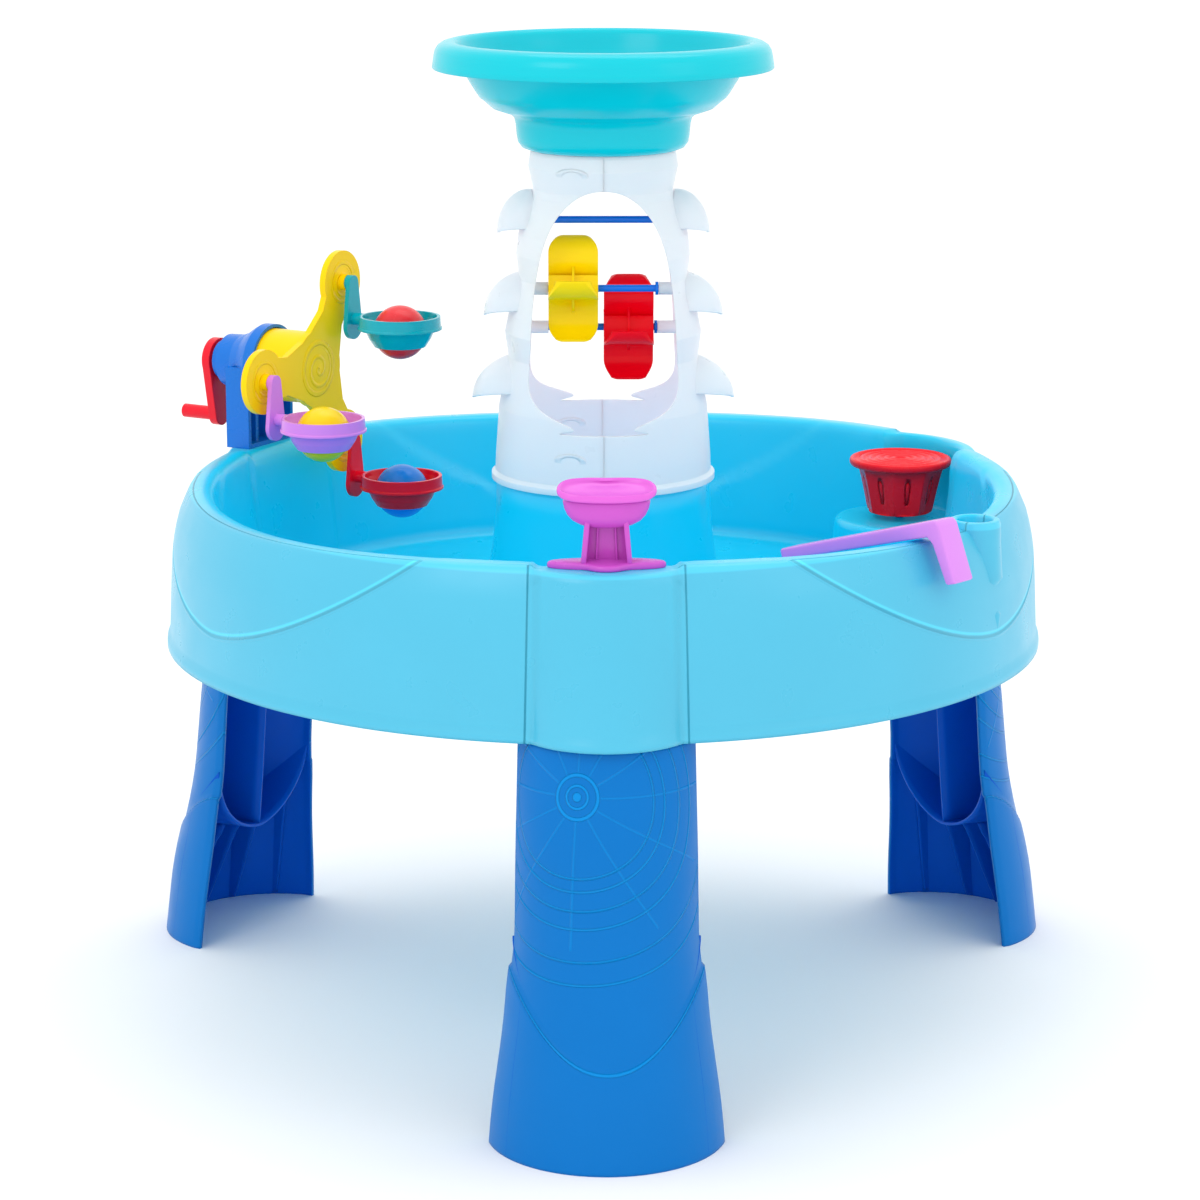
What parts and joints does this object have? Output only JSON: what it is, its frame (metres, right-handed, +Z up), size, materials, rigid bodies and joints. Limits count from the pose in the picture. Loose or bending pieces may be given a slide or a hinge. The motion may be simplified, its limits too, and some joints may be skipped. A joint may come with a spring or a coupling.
{
  "type": "sand and water table",
  "caption": "Round children's play basin on flared legs with a water tower and funnel, scoop wheels, a cranked wheel of hanging cups, a flap launcher, a rocking lever and a spinner.",
  "frame": {"origin": "on the floor, under the middle of the table's bounding box; the tub's own axis stands 38.5 mm behind it", "axes": "+Z up; -Y towards the front leg with the launcher; the cups are at the rear left, the spinner at the rear right"},
  "size_m": [0.8072, 0.8254, 0.8292],
  "materials": {
    "basin_blue": "satin",
    "leg_blue": "satin",
    "tower_white": "satin",
    "teal": "gloss",
    "yellow": "gloss",
    "red": "gloss",
    "purple": "gloss",
    "magenta": "gloss",
    "blue": "gloss",
    "rod_blue": "gloss",
    "steel": "zinc plated",
    "navy": "satin"
  },
  "bodies": {
    "table": {"basin": "basin_blue", "leg_front": "leg_blue", "leg_rear_left": "leg_blue", "leg_rear_right": "leg_blue", "leg_screws": "steel", "tower_left_half": "tower_white", "tower_right_half": "tower_white", "top_rod": "rod_blue", "upper_axle": "rod_blue", "lower_axle": "rod_blue", "funnel": "teal", "crank_bracket": "blue", "bracket_screws": "steel", "launcher_base": "magenta", "launcher_pin": "navy", "lever_pin": "navy", "spinner_post": "navy"},
    "yellow_wheel": {"water_wheel_yellow": "yellow"},
    "red_wheel": {"water_wheel_red": "red"},
    "carousel": {"cup_spider": "yellow", "crank_handle": "red"},
    "teal_cup": {"cup_teal": "teal"},
    "purple_cup": {"cup_purple": "purple"},
    "red_cup": {"cup_red": "red"},
    "red_ball": {"ball_red": "red"},
    "yellow_ball": {"ball_yellow": "yellow"},
    "blue_ball": {"ball_blue": "blue"},
    "launcher": {"launcher_tray": "magenta"},
    "lever": {"flip_lever": "purple"},
    "spinner": {"spinner": "red"},
    "plug": {"drain_plug": "navy"}
  },
  "joints": [
    {"name": "yellow_wheel_spin", "type": "hinge", "parent": "table", "child": "yellow_wheel", "pos_m": [-0.0253, 0.0185, 0.6235], "axis": [1, 0, 0], "continuous": true},
    {"name": "red_wheel_spin", "type": "hinge", "parent": "table", "child": "red_wheel", "pos_m": [0.02185, 0.0585, 0.5845], "axis": [1, 0, 0], "continuous": true},
    {"name": "crank_turn", "type": "hinge", "parent": "table", "child": "carousel", "pos_m": [-0.29878, 0.211, 0.5275], "axis": [-0.866, 0.5, 0], "continuous": true},
    {"name": "teal_cup_hang", "type": "hinge", "parent": "carousel", "child": "teal_cup", "pos_m": [-0.22347, 0.21544, 0.59938], "axis": [-0.866, 0.5, 0], "continuous": true},
    {"name": "purple_cup_hang", "type": "hinge", "parent": "carousel", "child": "purple_cup", "pos_m": [-0.28572, 0.10762, 0.5275], "axis": [-0.866, 0.5, 0], "continuous": true},
    {"name": "red_cup_hang", "type": "hinge", "parent": "carousel", "child": "red_cup", "pos_m": [-0.22347, 0.21544, 0.45562], "axis": [-0.866, 0.5, 0], "continuous": true},
    {"name": "red_ball_lift", "type": "slide", "parent": "teal_cup", "child": "red_ball", "axis": [0, 0, 1], "range_m": [0, 0.04]},
    {"name": "yellow_ball_lift", "type": "slide", "parent": "purple_cup", "child": "yellow_ball", "axis": [0, 0, 1], "range_m": [0, 0.04]},
    {"name": "blue_ball_lift", "type": "slide", "parent": "red_cup", "child": "blue_ball", "axis": [0, 0, 1], "range_m": [0, 0.04]},
    {"name": "launcher_flip", "type": "hinge", "parent": "table", "child": "launcher", "pos_m": [0, -0.2855, 0.511], "axis": [-1, 0, 0], "range_deg": [0, 70]},
    {"name": "lever_rock", "type": "hinge", "parent": "table", "child": "lever", "pos_m": [0.25232, -0.19679, 0.4615], "axis": [0.682, 0.7314, 0], "range_deg": [0, 6.5]},
    {"name": "spinner_spin", "type": "hinge", "parent": "table", "child": "spinner", "pos_m": [0.26803, 0.19325, 0.42], "axis": [0, 0, 1], "continuous": true},
    {"name": "plug_lift", "type": "slide", "parent": "table", "child": "plug", "axis": [0, 0, 1], "range_m": [0, 0.025]}
  ],
  "couplings": [
    {"joint": "teal_cup_hang", "follows": "crank_turn", "ratio": -1},
    {"joint": "purple_cup_hang", "follows": "crank_turn", "ratio": -1},
    {"joint": "red_cup_hang", "follows": "crank_turn", "ratio": -1}
  ]
}
